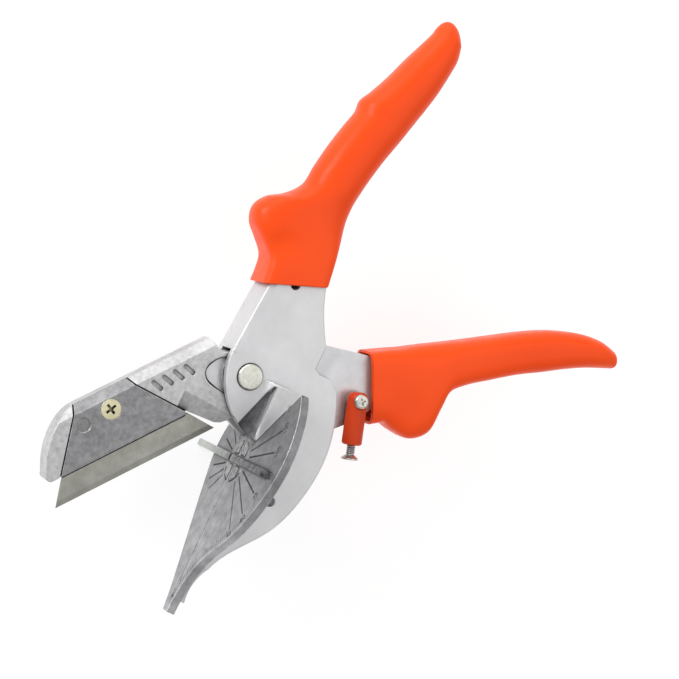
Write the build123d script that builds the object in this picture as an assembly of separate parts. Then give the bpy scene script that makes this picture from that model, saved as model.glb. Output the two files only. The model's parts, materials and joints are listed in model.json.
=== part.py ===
from build123d import *
import os
from math import cos, sin, radians, sqrt

os.makedirs("parts", exist_ok=True)

# Hand shears that close a trapezoid utility blade onto a mitre table.
# Origin: the point on the table face where the fence crosses the cutting line.
# +X runs along the cutting line toward the handles, +Y is the table normal,
# +Z is the pivot axis, toward the side that carries the blade cover.
# Lever shapes are drawn about the pivot and moved to their place at the end.

# ---- main sizes, mm ----
pivot_x = 27.3
pivot_height = 12.0
open_angle = 38.8

lever_thickness = 9.0
plate_gap = 0.5
plate_thickness = 3.0
plate_edge_round = 0.7
flute_depth = 2.2
flare_rise = 7.4
flare_hug = 0.62
upper_bevel_width = 2.4
upper_bevel_slope = 0.34
table_thickness = 3.0
table_length_tip = 57.0
table_near_width = 40.0
table_far_width = 25.0
table_heel_x = 29.0
rib_depth = 23.1

# ---- pivot ----
pin_radius = 3.0
pin_fit = 0.05
pin_head_radius = 4.4
pin_head_height = 1.2
bushing_radius = 4.2
washer_radius = 7.6
washer_thickness = 0.4
washer_play = 0.05
hub_radius = 9.0
hub_clearance = 0.6
spring_radius = 5.7
spring_wire = 1.0
spring_turns = 3
spring_pocket_inner = 4.8
spring_pocket_outer = 6.8
spring_pocket_depth = 4.4

# ---- blade ----
blade_length = 60.8
blade_back_length = 33.4
blade_height = 19.0
blade_thickness = 0.6
blade_grind = 1.9
blade_edge_land = 0.06
blade_heel_x = -16.7
blade_overtravel = 0.4
blade_hole_radius = 1.5
blade_hole_spacing = 22.0
blade_hole_drop = 4.6
blade_notch_spacing = 9.6
blade_notch_width = 3.0
blade_notch_depth = 2.2
blade_slot_width = 0.7
blade_slot_depth = 0.6
fence_gap_width = 1.6
blade_seat_play = 0.05

# ---- jaw and cover ----
jaw_top = 17.0
jaw_bottom = -2.6
bevel_height = 2.6
bevel_drop = 3.5
seam = 0.6
nose_round = 2.4
cover_screw_x = -47.4
cover_screw_y = 10.6
cover_screw_radius = 2.0
cover_head_radius = 3.6
cover_head_depth = 2.0
insert_radius = 3.2
insert_depth = 2.8
recess_depth = 1.2
dimple_x = -58.0
dimple_y = 10.0
dimple_radius = 2.5
dimple_depth = 0.5
locator_radius = 1.4
grip_groove_count = 4
grip_groove_first_x = -29.8
grip_groove_y = 10.8
grip_groove_pitch = 4.1
grip_groove_length = 3.4
grip_groove_width = 1.7
grip_groove_depth = 1.0

# ---- anvil insert, fence, table marks ----
anvil_radius = 8.0
anvil_depth = 2.5
fence_width = 2.6
fence_height = 3.0
fence_sink = 2.0
fence_far_reach = 36.5
fence_near_reach = 33.0
mark_width = 0.4
mark_depth = 0.2
mark_start = 9.4
mark_angles = (45, 60, 75, 105, 120, 135)
peg_hole_x = -8.0
peg_hole_y = -14.4
peg_hole_radius = 1.8
shank_hole_x = 34.9
shank_hole_y = -0.4
shank_hole_radius = 1.7

# ---- grips ----
upper_grip_half = 9.4
lower_grip_half = 8.0
grip_edge_round = 5.5
tang_half_thickness = 3.5
plate_end_x = 41.0

# ---- latch ----
latch_x = 31.8
latch_y = -24.8
latch_angle = -121.9
sleeve_radius = 3.55
sleeve_length = 15.4
sleeve_crown = 2.9
sleeve_gap = 0.3
latch_pin_radius = 1.5
latch_pin_fit = 0.08
latch_land = 0.5
latch_head_radius = 2.5
latch_head_height = 1.6
hook_radius = 1.25
hook_thread_depth = 7.0
hook_reach = 20.6
hook_head_radius = 3.0
hook_head_height = 1.8

# ---- derived heights ----
half_lever = lever_thickness / 2
plate_inner = half_lever + plate_gap
plate_outer = plate_inner + plate_thickness
edge_y = -pivot_height - blade_overtravel
half_blade = blade_thickness / 2
cover_seat = half_blade + blade_seat_play
table_top = -pivot_height
table_under = table_top - table_thickness
rib_bottom = table_under - rib_depth
blade_tip_x = blade_heel_x - blade_length
blade_mid_x = blade_heel_x - blade_length / 2
blade_back_y = edge_y + blade_height
end_lean = (blade_length - blade_back_length) / 2


def slab(outline, low, high):
    """Straight-sided solid from a closed outline between two heights."""
    face = make_face(outline)
    return Pos(0, 0, low) * extrude(face, amount=high - low, dir=(0, 0, 1))


def polygon(*points):
    """Closed outline with straight sides."""
    return Polyline(*points, close=True)


def cylinder(x, y, radius, low, high):
    """Round bar along Z between two heights."""
    shape = Cylinder(radius, high - low, align=(Align.CENTER, Align.CENTER, Align.MIN))
    return Pos(x, y, low) * shape


def ring(radius, bore, low, high):
    """Flat ring about the pivot axis."""
    return cylinder(0, 0, radius, low, high) - cylinder(0, 0, bore, low - 1, high + 1)


def cone(x, y, low_radius, high_radius, low, high):
    """Cone along Z between two heights."""
    shape = Cone(low_radius, high_radius, high - low, align=(Align.CENTER, Align.CENTER, Align.MIN))
    return Pos(x, y, low) * shape


def block(x1, x2, y1, y2, z1, z2):
    """Box between three pairs of limits."""
    shape = Box(x2 - x1, y2 - y1, z2 - z1, align=(Align.MIN, Align.MIN, Align.MIN))
    return Pos(x1, y1, z1) * shape


def soften(shape, edges, radius):
    """Round the edges, and keep the sharp shape where a round will not fit."""
    for size in (radius, radius * 0.7, radius * 0.45):
        try:
            rounded = fillet(edges, size)
            if rounded.is_valid and rounded.volume > 0:
                return rounded
        except Exception:
            continue
    return shape


def table_place(shape):
    """Move a shape drawn about the pivot to its place over the table datum."""
    return Pos(pivot_x, pivot_height, 0) * shape


def lever_place(shape):
    """Swing a closed-position lever shape open and move it to the pivot."""
    return Pos(pivot_x, pivot_height, 0) * Rot(0, 0, -open_angle) * shape


# ---- anvil lever casting, about the pivot ----
tip_x = -table_length_tip - pivot_x
rim_top = (3.5, 9.6)
rim_mid = (-8.6, 4.8)
rim_foot = (-18.9, table_top)
notch_corner = (12.2, -20.4)
heel_of_rib = (8.6, -31.2)
rib_tip = (tip_x + 5.0, table_under - 1.5)
plate_edges = (
    Line((plate_end_x, 7.4), rim_top)
    + ThreePointArc(rim_top, rim_mid, rim_foot)
    + Line(rim_foot, (rim_foot[0], table_under))
    + Line((rim_foot[0], table_under), (rib_tip[0], table_under))
    + Line((rib_tip[0], table_under), rib_tip)
    + Spline(
        rib_tip,
        (-57.6, -20.8),
        (-44.4, -31.1),
        (-28.0, -37.0),
        (-14.0, rib_bottom),
        (0.5, -34.9),
        heel_of_rib,
    )
    + Line(heel_of_rib, (11.2, -27.2))
    + Line((11.2, -27.2), (11.2, -22.6))
    + Line((11.2, -22.6), notch_corner)
    + Line(notch_corner, (20.6, -20.4))
    + Spline((20.6, -20.4), (26.0, -16.9), (33.5, -12.9), (plate_end_x, -10.4))
    + Line((plate_end_x, -10.4), (plate_end_x, 7.4))
)
plate_face = make_face(plate_edges)
plate_face = fillet(
    plate_face.vertices().filter_by(
        lambda v: (v.X - notch_corner[0]) ** 2 + (v.Y - notch_corner[1]) ** 2 < 0.01
    ),
    0.8,
)
plate_pair = Part()
for side, outer_end in ((-plate_outer, 0), (plate_inner, -1)):
    plate = Pos(0, 0, side) * extrude(plate_face, amount=plate_thickness, dir=(0, 0, 1))
    outer_face = plate.faces().filter_by(Axis.Z).sort_by(Axis.Z)[outer_end]
    rim_edges = outer_face.edges().filter_by(
        lambda e: (e @ 0.5).X > rim_foot[0] + 1 or (e @ 0.5).Y < table_under - 1
    )
    plate_pair += soften(plate, rim_edges, plate_edge_round)

rib_core_right = -9.0
rib_core = extrude(plate_face, amount=2 * plate_inner, dir=(0, 0, 1))
rib_core = Pos(0, 0, -plate_inner) * rib_core
rib_core &= block(-120, rib_core_right, rib_bottom - 5, table_under, -20, 20)
spine_start = 5.8
spine_inner_y = 5.8
spine = slab(
    polygon((spine_start, 9.36), (plate_end_x, 7.4), (plate_end_x, 3.5), (spine_start, spine_inner_y)),
    -plate_inner,
    plate_inner,
)
spine -= cylinder(0, 0, hub_radius + hub_clearance, -20, 20)
root_block = slab(
    polygon((36.5, 7.6), (36.5, 1.0), (plate_end_x, -1.9), (plate_end_x, 7.3)), -plate_inner, plate_inner
)
upper_tang = slab(
    polygon((38, 4.6), (98, -2.5), (98, -9.0), (50, -5.0), (38, -0.5)),
    -tang_half_thickness,
    tang_half_thickness,
)
anvil_casting = plate_pair + rib_core + spine + root_block

# Shallow bevel along the upper edge of the front plate.
upper_edge_fall = (rim_top[1] - 7.4) / (plate_end_x - rim_top[0])
upper_bevel_origin = (rim_top[0] + 1.5, rim_top[1] - upper_bevel_width, plate_outer)
upper_bevel_plane = Plane(
    origin=upper_bevel_origin,
    x_dir=(1, -upper_edge_fall, 0),
    z_dir=(upper_edge_fall * upper_bevel_slope, upper_bevel_slope, 1),
)
upper_bevel_cut = Box(60, 12, 6, align=(Align.MIN, Align.MIN, Align.MIN))
anvil_casting -= upper_bevel_plane * upper_bevel_cut

# The rib narrows with the table toward the tip: keep only what lies under the table.
table_outline = (
    Line((-table_length_tip, -2.2), (-table_length_tip, 2.2))
    + Spline(
        (-table_length_tip, 2.2),
        (-45.0, 4.6),
        (-35.0, 11.5),
        (-25.0, 24.0),
        (-11.0, 35.2),
        (5.0, table_near_width),
        (17.0, 37.2),
        (table_heel_x, 27.6),
    )
    + Line((table_heel_x, 27.6), (table_heel_x, -9.0))
    + Spline(
        (table_heel_x, -9.0),
        (18.0, -19.6),
        (2.0, -table_far_width),
        (-10.0, -21.6),
        (-34.0, -11.2),
        (-table_length_tip, -2.2),
    )
)
plan_plane = Plane(origin=(0, 0, 0), x_dir=(1, 0, 0), z_dir=(0, -1, 0))


def plan_slab(outline, top, bottom):
    """Solid from an outline in table plan, X and Z, between two levels of Y."""
    face = make_face(plan_plane.from_local_coords(outline))
    return Pos(0, top, 0) * extrude(face, amount=top - bottom, dir=(0, -1, 0))


tip_trim = Pos(-pivot_x, -pivot_height, 0) * plan_slab(table_outline, 0, -60)
tip_trim = scale(tip_trim, by=(1, 1, 0.9))
lower_zone = block(-140, rim_foot[0] - 1.0, rib_bottom - 5, table_under + 1, -30, 30)
anvil_casting -= lower_zone - tip_trim

# Concave flare from the front plate out to the table, bounded below by the 135 degree line.
flare_start_x = rim_foot[0] + pivot_x


def flare_section(x):
    """Corner piece across X: tangent to the plate above and to the table in front."""
    reach = x - flare_start_x
    rise = reach * flare_rise / (table_heel_x - flare_start_x)
    top = (rise, plate_outer)
    front = (0, plate_outer + reach)
    outline = (
        Bezier(top, (rise * (1 - flare_hug), plate_outer), (0, plate_outer + reach * (1 - flare_hug)), front)
        + Line(front, (-1, plate_outer + reach))
        + Line((-1, plate_outer + reach), (-1, plate_outer - 0.5))
        + Line((-1, plate_outer - 0.5), (rise, plate_outer - 0.5))
        + Line((rise, plate_outer - 0.5), top)
    )
    plane = Plane(origin=(x, 0, 0), x_dir=(0, 1, 0), z_dir=(1, 0, 0))
    return make_face(plane.from_local_coords(outline))


flare = loft([flare_section(flare_start_x + 0.4), flare_section(table_heel_x)], ruled=True)
anvil_casting = table_place(anvil_casting + upper_tang) + flare

# Flute between the pivot boss and the flare: a channel that widens toward the heel of the table.
flute_start_x = 28.0
flute_end_x = 6.0
flute_top = plate_outer + 24.0


def flute_section(x, low_y, high_y, depth):
    """Channel section across X: rounded floor below the plate face, straight walls above it."""
    middle = (low_y + high_y) / 2
    outline = (
        Line((low_y, flute_top), (low_y, plate_outer))
        + ThreePointArc((low_y, plate_outer), (middle, plate_outer - depth), (high_y, plate_outer))
        + Line((high_y, plate_outer), (high_y, flute_top))
        + Line((high_y, flute_top), (low_y, flute_top))
    )
    plane = Plane(origin=(x, 0, 0), x_dir=(0, 1, 0), z_dir=(1, 0, 0))
    return make_face(plane.from_local_coords(outline))


flute = loft(
    [
        flute_section(flute_start_x, 2.6, 3.2, 0.15),
        flute_section(flute_end_x, 0.5, 10.4, flute_depth),
    ],
    ruled=True,
)
anvil_casting -= flute

anvil_casting -= table_place(cylinder(0, 0, pin_radius + pin_fit, -20, 20))
anvil_casting -= cylinder(peg_hole_x, peg_hole_y, peg_hole_radius, -20, 20)
anvil_casting -= table_place(
    cylinder(shank_hole_x, shank_hole_y, shank_hole_radius, -20, 20)
)

# ---- mitre table ----
mitre_table = plan_slab(table_outline, 0, -table_thickness)
swing_room = block(rib_core_right + pivot_x, 60, -10, 5, -plate_inner, plate_inner)
mitre_table -= swing_room
anvil_seat = Pos(0, -anvil_depth, 0) * Rot(-90, 0, 0) * Cylinder(
    anvil_radius, anvil_depth, align=(Align.CENTER, Align.CENTER, Align.MIN)
)
mitre_table -= anvil_seat
blade_slot = block(
    blade_tip_x + pivot_x - 2.5,
    blade_heel_x + pivot_x + 2.5,
    -blade_slot_depth,
    fence_height + 1,
    -blade_slot_width / 2,
    blade_slot_width / 2,
)
fence_seat = block(
    -fence_width / 2, fence_width / 2, -fence_sink, 1, -fence_far_reach, fence_near_reach
)
mitre_table -= blade_slot
mitre_table -= fence_seat
near_mark_ends = {45: 31.0, 60: 31.0, 75: 29.0, 105: 30.0, 120: 31.0, 135: 31.0}
far_mark_ends = {45: 19.0, 60: 20.5, 75: 20.5, 105: 20.0, 120: 19.5, 135: 17.0}
for angle in mark_angles:
    for side, ends in ((1, near_mark_ends), (-1, far_mark_ends)):
        length = ends[angle] - mark_start
        mark = block(0, length, -mark_depth, 1, -mark_width / 2, mark_width / 2)
        turned = Rot(0, side * (angle - 180), 0) * Pos(mark_start, 0, 0) * mark
        mitre_table -= turned
mitre_table -= anvil_casting

# ---- anvil insert and fence ----
anvil_insert = anvil_seat - blade_slot - fence_seat
fence_bar = block(
    -fence_width / 2,
    fence_width / 2,
    -fence_sink,
    fence_height,
    -fence_far_reach,
    fence_near_reach,
)
fence_bar -= block(
    -fence_width,
    fence_width,
    -blade_slot_depth,
    fence_height + 1,
    -fence_gap_width / 2,
    fence_gap_width / 2,
)
fence_bar = soften(
    fence_bar,
    fence_bar.edges().filter_by(Axis.Z).group_by(Axis.Y)[-1],
    0.5,
)

# ---- upper grip ----
upper_outline = (
    Spline(
        (30.0, 11.0),
        (39.5, 12.0),
        (44.0, 16.7),
        (48.0, 21.7),
        (53.0, 22.9),
        (58.0, 20.3),
        (62.3, 13.6),
        (68.0, 10.1),
        (82.2, 8.3),
        (92.6, 6.0),
        (98.8, 4.3),
        (103.6, 4.5),
        (108.0, 2.2),
        (115.0, -0.8),
        (131.0, -6.5),
        (141.8, -11.0),
        (142.4, -15.8),
        (131.4, -20.2),
        (117.5, -19.1),
        (97.7, -14.5),
        (79.0, -10.2),
        (66.0, -8.8),
        (52.0, -10.2),
        (39.6, -12.4),
    )
    + Line((39.6, -12.4), (30.0, 11.0))
)
upper_grip = slab(upper_outline, -upper_grip_half, upper_grip_half)
upper_grip = soften(
    upper_grip,
    upper_grip.faces().filter_by(Axis.Z).edges().filter_by(lambda e: e.length > 40),
    grip_edge_round,
)
upper_grip = table_place(upper_grip) - anvil_casting
shank_nest = slab(
    polygon((29, -1.5), (46.0, -13.6), (46.0, -20), (29, -20)), -plate_inner, plate_inner
)
upper_grip -= table_place(shank_nest)

# ---- blade lever casting, closed, about the pivot ----
nose_line = ((-58.2, jaw_top), (-60.0, 14.4), (-72.6, jaw_bottom))
heel_line = ((-37.2, jaw_top), (-36.0, 14.3), (-23.3, jaw_bottom))
nose_curve = Spline(
    (-58.2, jaw_top), (-63.8, 15.2), (-69.6, 10.8), (-74.0, 5.0), (-76.3, 0.4)
)
nose_curve += ThreePointArc((-76.3, 0.4), (-76.6, -1.8), (-75.2, jaw_bottom))
heel_points = (
    (-16.7, -9.9),
    (-14.8, -10.9),
    (-10.7, -11.3),
    (0, -hub_radius),
    (0, hub_radius),
    (-4.7, 11.0),
    (-6.0, jaw_top),
)
back_outline = (
    nose_curve
    + Polyline((-75.2, jaw_bottom), heel_line[2], *heel_points, (-58.2, jaw_top))
)
back_plate = slab(back_outline, -half_lever, -half_blade)
nose_outline = nose_curve + Polyline((-75.2, jaw_bottom), nose_line[2], nose_line[1], nose_line[0])
nose_block = slab(nose_outline, -half_blade, half_lever)
nose_front = nose_block.faces().sort_by(Axis.Z)[-1]
nose_block = soften(
    nose_block,
    nose_front.edges().filter_by(lambda e: (e @ 0.5).X < nose_line[2][0] or (e @ 0.5).Y > 14.6),
    nose_round,
)
heel_outline = Polyline(heel_line[0], heel_line[1], heel_line[2], *heel_points, close=True)
heel_block = slab(heel_outline, -half_blade, half_lever)
top_bevel = Plane.YZ * make_face(
    Polyline(
        (jaw_top - bevel_height, half_lever),
        (jaw_top + 0.01, half_lever - bevel_drop),
        (jaw_top + 3, half_lever - bevel_drop),
        (jaw_top + 3, half_lever + 1),
        (jaw_top - bevel_height, half_lever + 1),
        close=True,
    )
)
top_bevel = Pos(-90, 0, 0) * extrude(top_bevel, amount=110, dir=(1, 0, 0))
heel_block -= top_bevel
nose_block -= top_bevel

# Sloping face on the lower front of the heel.
slope_plane = Plane(origin=(-16.5, -2.0, half_lever), z_dir=(-0.30, -0.22, 0.93))
slope_cut = slope_plane * Box(60, 60, 10, align=(Align.CENTER, Align.CENTER, Align.MIN))
slope_zone = slab(polygon((-21.7, 5.0), (-10.2, -10.8), (-13, -20), (-40, -10)), 0.4, 6)
heel_block -= slope_cut & slope_zone

# Shallow recess beside the hub.
recess_outline = (
    Spline((-3.0, 8.8), (-8.0, 9.9), (-12.2, 8.4), (-13.5, 5.4), (-12.7, 2.4), (-9.5, -3.0))
    + Line((-9.5, -3.0), (-3.0, -3.0))
    + Line((-3.0, -3.0), (-3.0, 8.8))
)
recess = slab(recess_outline, half_lever - recess_depth, 6)
recess -= cylinder(0, 0, washer_radius + 0.3, 0, 10)
heel_block -= recess
for index in range(grip_groove_count):
    groove_x = grip_groove_first_x + index * grip_groove_pitch
    groove = SlotCenterToCenter(grip_groove_length, grip_groove_width)
    groove = Pos(groove_x, grip_groove_y, half_lever - grip_groove_depth) * Rot(0, 0, -64) * groove
    heel_block -= extrude(groove, amount=3, dir=(0, 0, 1))

hub = cylinder(0, 0, hub_radius, -half_lever, half_lever)
shank = slab(
    polygon(
        (0, 5.5),
        (5.0, 4.0),
        (30.3, -3.4),
        (44.5, -14.6),
        (48.0, -17.6),
        (43.0, -30.0),
        (33.0, -31.5),
        (25.5, -31.6),
        (20.9, -31.1),
        (6.0, -14.0),
        (0, -8.5),
    ),
    -half_lever,
    half_lever,
)
shank = soften(shank, shank.edges().filter_by(Axis.Z).sort_by(Axis.Y)[1:3], 2.0)
lower_tang = slab(
    polygon((44, -17), (95, -35.0), (93, -41.5), (40, -29)),
    -tang_half_thickness,
    tang_half_thickness,
)
blade_lever = back_plate + nose_block + heel_block + hub + shank + lower_tang
blade_lever -= cylinder(0, 0, bushing_radius, -20, 20)
spring_pocket = ring(
    spring_pocket_outer,
    spring_pocket_inner,
    -half_lever - 1,
    -half_lever + spring_pocket_depth,
)
blade_lever -= spring_pocket
blade_lever -= cylinder(cover_screw_x, cover_screw_y, insert_radius, -20, -half_lever + insert_depth)
blade_lever -= cylinder(cover_screw_x, cover_screw_y, cover_screw_radius, -20, 20)
locator_low = -half_lever + 1.2
locator_high = cover_seat + 1.0
locator_y = blade_back_y - blade_hole_drop
locator_xs = (blade_mid_x - blade_hole_spacing / 2, blade_mid_x + blade_hole_spacing / 2)
for x in locator_xs:
    blade_lever -= cylinder(x, locator_y, locator_radius, locator_low, 0)
latch_thread_low = -half_lever + 1.0
blade_lever -= cylinder(latch_x, latch_y, latch_pin_radius, latch_thread_low, 20)

# ---- blade ----
blade_profile = Plane.YZ * make_face(
    Polyline(
        (edge_y, -blade_edge_land / 2),
        (edge_y + blade_grind, -half_blade),
        (blade_back_y, -half_blade),
        (blade_back_y, half_blade),
        (edge_y + blade_grind, half_blade),
        (edge_y, blade_edge_land / 2),
        close=True,
    )
)
blade_bar = Pos(-100, 0, 0) * extrude(blade_profile, amount=120, dir=(1, 0, 0))
blade = blade_bar & slab(
    polygon(
        (blade_tip_x, edge_y),
        (blade_heel_x, edge_y),
        (blade_heel_x - end_lean, blade_back_y),
        (blade_tip_x + end_lean, blade_back_y),
    ),
    -1,
    1,
)
for sign in (-1, 1):
    hole_x = blade_mid_x + sign * blade_hole_spacing / 2
    notch_x = blade_mid_x + sign * blade_notch_spacing / 2
    blade -= cylinder(hole_x, locator_y, blade_hole_radius, -2, 2)
    blade -= block(
        notch_x - blade_notch_width / 2,
        notch_x + blade_notch_width / 2,
        blade_back_y - blade_notch_depth,
        blade_back_y + 1,
        -2,
        2,
    )

# ---- blade cover ----
cover = slab(
    polygon(
        (nose_line[2][0] + seam, jaw_bottom),
        (nose_line[1][0] + seam, nose_line[1][1]),
        (nose_line[0][0] + seam, jaw_top),
        (heel_line[0][0] - seam, jaw_top),
        (heel_line[1][0] - seam, heel_line[1][1]),
        (heel_line[2][0] - seam, jaw_bottom),
    ),
    cover_seat,
    half_lever,
)
cover -= top_bevel
cover -= cylinder(cover_screw_x, cover_screw_y, cover_screw_radius + 0.1, -2, 20)
head_low = half_lever - cover_head_depth
cover -= cone(
    cover_screw_x,
    cover_screw_y,
    cover_screw_radius + 0.1,
    cover_head_radius,
    head_low,
    half_lever,
)
cover -= cylinder(dimple_x, dimple_y, dimple_radius, half_lever - dimple_depth, 20)
for x in locator_xs:
    cover -= cylinder(x, locator_y, locator_radius + 0.15, -2, locator_high + 0.3)

cover_screw = cylinder(
    cover_screw_x, cover_screw_y, cover_screw_radius, -half_lever + 0.6, half_lever - 0.3
)
cover_screw += cone(
    cover_screw_x,
    cover_screw_y,
    cover_screw_radius,
    cover_head_radius - 0.1,
    head_low,
    half_lever - 0.02,
)


def cross_recess(x, y, top, span, width, depth):
    """Cross-shaped driver recess cut down from a screw face."""
    arm = Box(span, width, depth, align=(Align.CENTER, Align.CENTER, Align.MAX))
    return Pos(x, y, top) * (arm + Rot(0, 0, 90) * arm)


cover_screw -= Pos(cover_screw_x, cover_screw_y, 0) * Rot(0, 0, 12) * cross_recess(
    0, 0, half_lever, 4.0, 0.9, 1.4
)
cover_insert = cylinder(
    cover_screw_x, cover_screw_y, insert_radius, -half_lever, -half_lever + insert_depth
)
cover_insert -= cover_screw
cover_insert -= cylinder(
    cover_screw_x, cover_screw_y, cover_screw_radius, -half_lever - 1, -half_lever + 1
)
blade_locators = Part()
for x in locator_xs:
    blade_locators += cylinder(x, locator_y, locator_radius, locator_low, locator_high)

# ---- lower grip, closed, about the pivot ----
lower_outline = (
    Spline(
        (43.3, -13.2),
        (56.2, -16.8),
        (77.6, -24.6),
        (99.8, -32.0),
        (115.7, -39.2),
        (127.6, -48.4),
        (132.1, -56.6),
        (129.6, -61.0),
        (113.0, -52.9),
        (90.2, -44.6),
        (72.2, -39.8),
        (65.2, -39.4),
        (59.2, -43.8),
        (52.6, -48.6),
        (45.6, -47.7),
        (41.0, -42.6),
        (38.0, -37.4),
        (33.3, -35.6),
    )
    + Line((33.3, -35.6), (43.3, -13.2))
)
lower_grip = slab(lower_outline, -lower_grip_half, lower_grip_half)
lower_grip = soften(
    lower_grip,
    lower_grip.faces().filter_by(Axis.Z).edges().filter_by(lambda e: e.length > 40),
    grip_edge_round,
)
lower_grip -= blade_lever

# ---- pivot set ----
pivot_pin = cylinder(0, 0, pin_radius, -plate_outer - 1.0, plate_outer)
pin_head = cylinder(0, 0, pin_head_radius, plate_outer, plate_outer + pin_head_height)
pin_head = chamfer(pin_head.edges().group_by(Axis.Z)[-1], 0.35)
pivot_pin += pin_head
pivot_collar = ring(pin_head_radius, pin_radius, -plate_outer - pin_head_height, -plate_outer)
pivot_bushing = ring(bushing_radius, pin_radius + pin_fit, -half_lever, half_lever)
pivot_washers = Part()
for low in (half_lever + washer_play, -half_lever - washer_play - washer_thickness):
    pivot_washers += ring(washer_radius, pin_radius + pin_fit, low, low + washer_thickness)
spring_pitch = (spring_pocket_depth - spring_wire - 0.4) / spring_turns
spring_base = -half_lever + spring_wire / 2 + 0.1
coil_path = Helix(pitch=spring_pitch, height=spring_pitch * spring_turns, radius=spring_radius)
coil_start = Plane(origin=coil_path @ 0, z_dir=coil_path % 0)
return_spring = sweep(coil_start * Circle(spring_wire / 2), path=coil_path, is_frenet=True)
return_spring = Pos(0, 0, spring_base) * return_spring

# ---- latch, drawn pointing along +X from its own pivot ----
sleeve_z = half_lever + sleeve_gap + sleeve_radius
sleeve_low = sleeve_z - sleeve_radius
latch_sleeve = Pos(-sleeve_crown, 0, sleeve_z) * Rot(0, 90, 0) * Cylinder(
    sleeve_radius,
    sleeve_length + sleeve_crown,
    align=(Align.CENTER, Align.CENTER, Align.MIN),
)
latch_sleeve = fillet(latch_sleeve.edges().group_by(Axis.X)[0], 2.2)
latch_sleeve = chamfer(latch_sleeve.edges().group_by(Axis.X)[-1], 0.5)
latch_sleeve -= cylinder(0, 0, latch_pin_radius + latch_pin_fit, 0, 30)
head_seat = sleeve_z + sleeve_radius - latch_land
washer_top = sleeve_low + latch_land
latch_sleeve -= cylinder(0, 0, latch_head_radius + 0.4, head_seat, 30)
latch_sleeve -= cylinder(0, 0, latch_head_radius + 0.4, 0, washer_top)
hook_start = sleeve_length - hook_thread_depth
hook_bore = Pos(hook_start, 0, sleeve_z) * Rot(0, 90, 0) * Cylinder(
    hook_radius, 30, align=(Align.CENTER, Align.CENTER, Align.MIN)
)
latch_sleeve -= hook_bore
hook_length = hook_reach - hook_start - 0.5
latch_hook_screw = Pos(hook_start, 0, sleeve_z) * Rot(0, 90, 0) * Cylinder(
    hook_radius, hook_length, align=(Align.CENTER, Align.CENTER, Align.MIN)
)
latch_hook_screw += Pos(hook_reach - hook_head_height, 0, sleeve_z) * Rot(0, 90, 0) * Cone(
    hook_radius,
    hook_head_radius,
    hook_head_height - 0.5,
    align=(Align.CENTER, Align.CENTER, Align.MIN),
)
latch_hook_screw += Pos(hook_reach - 0.5, 0, sleeve_z) * Rot(0, 90, 0) * Cylinder(
    hook_head_radius, 0.5, align=(Align.CENTER, Align.CENTER, Align.MIN)
)
latch_pivot_screw = cylinder(0, 0, latch_pin_radius, latch_thread_low, head_seat + 0.2)
latch_head = cylinder(
    0, 0, latch_head_radius, head_seat + 0.05, head_seat + 0.05 + latch_head_height
)
latch_head = fillet(latch_head.edges().group_by(Axis.Z)[-1], 0.8)
latch_pivot_screw += latch_head
latch_pivot_screw -= Rot(0, 0, 20) * cross_recess(
    0, 0, head_seat + 0.1 + latch_head_height, 2.6, 0.6, 0.9
)
latch_washer = cylinder(0, 0, latch_head_radius + 0.2, half_lever, washer_top - 0.05)
latch_washer -= cylinder(0, 0, latch_pin_radius, 0, 20)


def latch_place(shape):
    """Turn a latch shape to its hanging direction on the blade lever, then open the lever."""
    return lever_place(Pos(latch_x, latch_y, 0) * Rot(0, 0, latch_angle) * shape)


nodes = {
    "anvil_lever_casting": anvil_casting,
    "mitre_table": mitre_table,
    "anvil_insert": anvil_insert,
    "fence_bar": fence_bar,
    "upper_grip": upper_grip,
    "pivot_pin": table_place(pivot_pin),
    "pivot_collar": table_place(pivot_collar),
    "pivot_washers": table_place(pivot_washers),
    "return_spring": table_place(return_spring),
    "blade_lever_casting": lever_place(blade_lever),
    "lower_grip": lever_place(lower_grip),
    "pivot_bushing": lever_place(pivot_bushing),
    "blade": lever_place(blade),
    "blade_cover": lever_place(cover),
    "cover_screw": lever_place(cover_screw),
    "cover_screw_insert": lever_place(cover_insert),
    "blade_locators": lever_place(blade_locators),
    "latch_sleeve": latch_place(latch_sleeve),
    "latch_hook_screw": latch_place(latch_hook_screw),
    "latch_pivot_screw": latch_place(latch_pivot_screw),
    "latch_washer": latch_place(latch_washer),
}
for name, shape in nodes.items():
    export_step(shape, "parts/" + name + ".step")
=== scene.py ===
import bpy
import bmesh
import json
import math
from mathutils import Matrix, Vector


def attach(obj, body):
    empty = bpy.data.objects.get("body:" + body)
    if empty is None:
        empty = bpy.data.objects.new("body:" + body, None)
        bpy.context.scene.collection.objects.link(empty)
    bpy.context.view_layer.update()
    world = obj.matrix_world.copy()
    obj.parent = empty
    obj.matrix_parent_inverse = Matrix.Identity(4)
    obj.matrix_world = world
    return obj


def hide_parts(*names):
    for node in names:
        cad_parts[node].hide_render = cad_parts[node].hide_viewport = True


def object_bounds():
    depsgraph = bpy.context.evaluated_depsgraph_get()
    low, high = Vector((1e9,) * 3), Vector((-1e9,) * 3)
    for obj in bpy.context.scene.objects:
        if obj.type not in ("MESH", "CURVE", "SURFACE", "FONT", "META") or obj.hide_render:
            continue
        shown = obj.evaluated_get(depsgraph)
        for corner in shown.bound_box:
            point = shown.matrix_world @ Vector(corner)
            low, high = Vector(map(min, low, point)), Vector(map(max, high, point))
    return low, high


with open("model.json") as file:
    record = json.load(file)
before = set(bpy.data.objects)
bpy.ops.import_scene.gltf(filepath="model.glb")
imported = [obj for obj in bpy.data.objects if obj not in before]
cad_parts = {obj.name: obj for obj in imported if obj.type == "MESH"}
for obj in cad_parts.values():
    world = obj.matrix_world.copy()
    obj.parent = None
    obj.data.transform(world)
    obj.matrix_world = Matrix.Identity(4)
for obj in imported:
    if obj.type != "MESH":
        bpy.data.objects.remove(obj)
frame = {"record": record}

cad_low, cad_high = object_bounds()

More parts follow.
